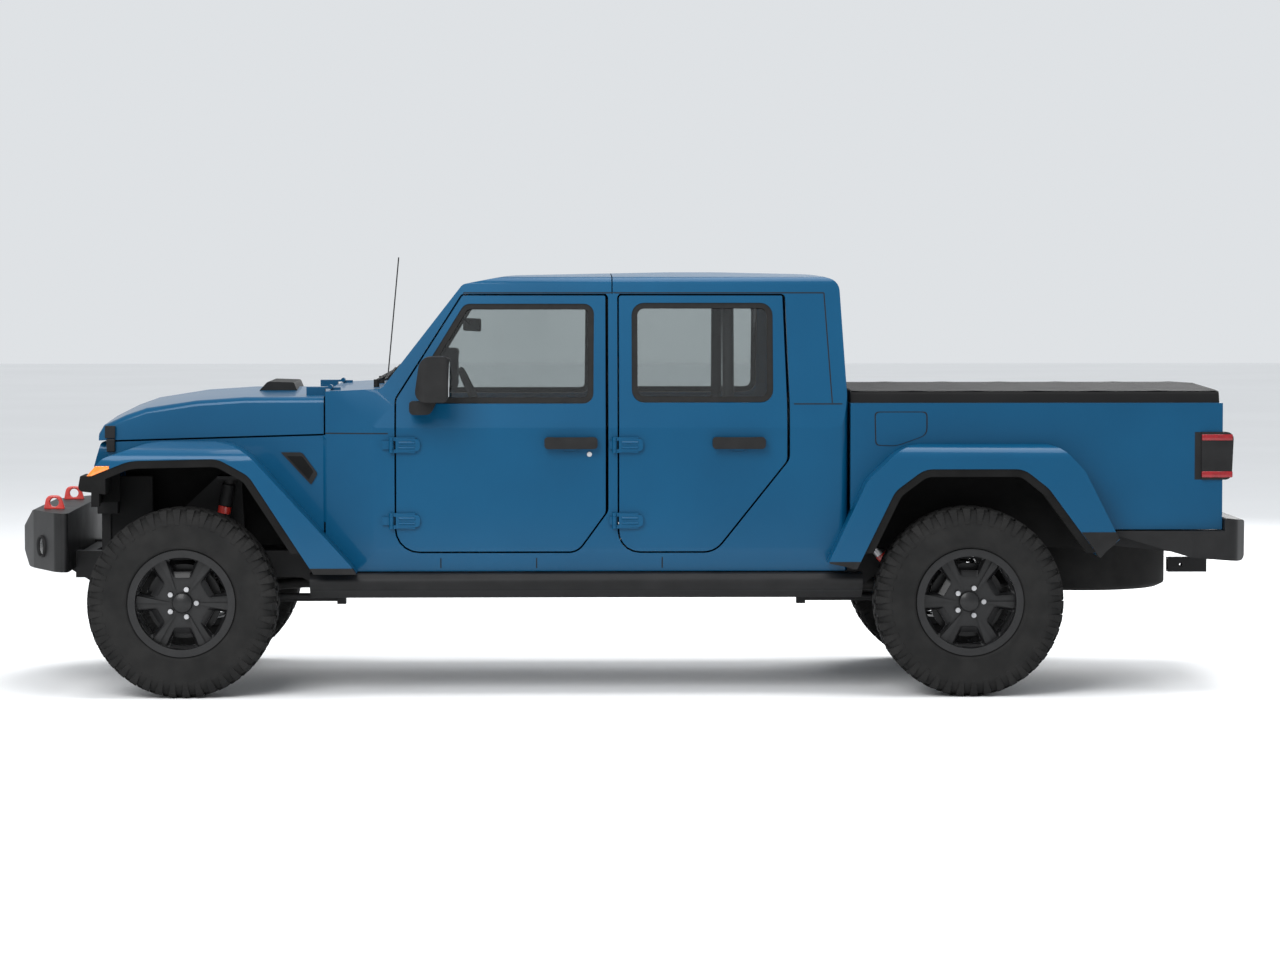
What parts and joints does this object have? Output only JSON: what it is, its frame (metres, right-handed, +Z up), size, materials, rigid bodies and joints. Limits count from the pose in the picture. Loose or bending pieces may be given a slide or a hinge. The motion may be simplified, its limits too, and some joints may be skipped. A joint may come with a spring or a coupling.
{
  "type": "crew cab pickup truck",
  "caption": "Four-door off-road pickup truck with steered front wheels, opening hood, doors and tailgate, and a covered load bed.",
  "frame": {"origin": "on the ground, under the middle of the bounding box", "axes": "+Z up, -X forward, -Y to the truck's left"},
  "size_m": [5.528, 2.09, 1.9503],
  "materials": {
    "body_paint": "gloss",
    "black_steel": "satin",
    "black_plastic": "moulded",
    "hook_red": "gloss",
    "clear_glass": "clear",
    "front_lens": "clear",
    "tail_lens": "clear",
    "tonneau_vinyl": "grained",
    "seat_cloth": "woven",
    "cast_steel": "raw",
    "bright_steel": "satin",
    "tyre_rubber": "matt",
    "rim_black": "satin black"
  },
  "bodies": {
    "chassis": {"frame_rails": "black_steel", "front_bumper": "black_steel", "tow_hooks": "hook_red", "rear_bumper": "black_steel", "cab_tub": "body_paint", "windshield_frame": "body_paint", "fixed_glass": "clear_glass", "roof_panels": "body_paint", "grille_panel": "body_paint", "front_lamps": "front_lens", "front_fenders": "body_paint", "arch_liners": "black_plastic", "rock_rails": "black_steel", "bed_box": "body_paint", "tonneau_cover": "tonneau_vinyl", "tail_lamps": "tail_lens", "seats": "seat_cloth", "dashboard": "black_plastic", "roll_bar": "black_steel", "powertrain": "cast_steel", "exhaust": "bright_steel", "fuel_tank": "black_steel", "spare_wheel": "tyre_rubber", "front_axle": "cast_steel", "rear_axle": "cast_steel", "suspension_arms": "black_steel", "springs_and_dampers": "bright_steel", "driveshafts": "bright_steel", "wipers_and_antenna": "black_plastic"},
    "hood": {"hood": "body_paint", "hood_fittings": "black_plastic"},
    "tailgate": {"tailgate": "body_paint"},
    "tie_rod": {"tie_rod": "cast_steel"},
    "knuckle_left": {"knuckle_left": "cast_steel"},
    "knuckle_right": {"knuckle_right": "cast_steel"},
    "door_fl": {"door_fl": "body_paint", "door_fl_glass": "clear_glass", "door_fl_fittings": "black_plastic"},
    "door_fr": {"door_fr": "body_paint", "door_fr_glass": "clear_glass", "door_fr_fittings": "black_plastic"},
    "door_rl": {"door_rl": "body_paint", "door_rl_glass": "clear_glass", "door_rl_fittings": "black_plastic"},
    "door_rr": {"door_rr": "body_paint", "door_rr_glass": "clear_glass", "door_rr_fittings": "black_plastic"},
    "wheel_fl": {"tyre_fl": "tyre_rubber", "rim_fl": "rim_black"},
    "wheel_fr": {"tyre_fr": "tyre_rubber", "rim_fr": "rim_black"},
    "wheel_rl": {"tyre_rl": "tyre_rubber", "rim_rl": "rim_black"},
    "wheel_rr": {"tyre_rr": "tyre_rubber", "rim_rr": "rim_black"}
  },
  "joints": [
    {"name": "hood_hinge", "type": "hinge", "parent": "chassis", "child": "hood", "pos_m": [-1.337, 0, 1.367], "axis": [0, 1, 0], "range_deg": [0, 50]},
    {"name": "tailgate_hinge", "type": "hinge", "parent": "chassis", "child": "tailgate", "pos_m": [2.636, 0, 0.834], "axis": [0, 1, 0], "range_deg": [0, 90]},
    {"name": "steer_left", "type": "hinge", "parent": "chassis", "child": "knuckle_left", "pos_m": [-1.979, -0.69, 0.4205], "axis": [0, 0, 1], "range_deg": [-30, 30]},
    {"name": "steer_right", "type": "hinge", "parent": "chassis", "child": "knuckle_right", "pos_m": [-1.979, 0.69, 0.4205], "axis": [0, 0, 1], "range_deg": [-30, 30]},
    {"name": "tie_rod_pin", "type": "hinge", "parent": "knuckle_left", "child": "tie_rod", "pos_m": [-2.129, -0.69, 0.4205], "axis": [0, 0, 1], "range_deg": [-30, 30]},
    {"name": "door_fl_hinge", "type": "hinge", "parent": "chassis", "child": "door_fl", "pos_m": [-1.057, -0.815, 1], "axis": [0, 0, -1], "range_deg": [0, 65]},
    {"name": "door_fr_hinge", "type": "hinge", "parent": "chassis", "child": "door_fr", "pos_m": [-1.057, 0.815, 1], "axis": [0, 0, 1], "range_deg": [0, 65]},
    {"name": "door_rl_hinge", "type": "hinge", "parent": "chassis", "child": "door_rl", "pos_m": [-0.066, -0.815, 1], "axis": [0, 0, -1], "range_deg": [0, 65]},
    {"name": "door_rr_hinge", "type": "hinge", "parent": "chassis", "child": "door_rr", "pos_m": [-0.066, 0.815, 1], "axis": [0, 0, 1], "range_deg": [0, 65]},
    {"name": "wheel_fl_spin", "type": "hinge", "parent": "knuckle_left", "child": "wheel_fl", "pos_m": [-1.979, -0.81, 0.4205], "axis": [0, 1, 0], "continuous": true},
    {"name": "wheel_fr_spin", "type": "hinge", "parent": "knuckle_right", "child": "wheel_fr", "pos_m": [-1.979, 0.81, 0.4205], "axis": [0, 1, 0], "continuous": true},
    {"name": "wheel_rl_spin", "type": "hinge", "parent": "chassis", "child": "wheel_rl", "pos_m": [1.509, -0.81, 0.4205], "axis": [0, 1, 0], "continuous": true},
    {"name": "wheel_rr_spin", "type": "hinge", "parent": "chassis", "child": "wheel_rr", "pos_m": [1.509, 0.81, 0.4205], "axis": [0, 1, 0], "continuous": true}
  ],
  "couplings": [
    {"joint": "steer_right", "follows": "steer_left", "ratio": 1},
    {"joint": "tie_rod_pin", "follows": "steer_left", "ratio": -1}
  ]
}
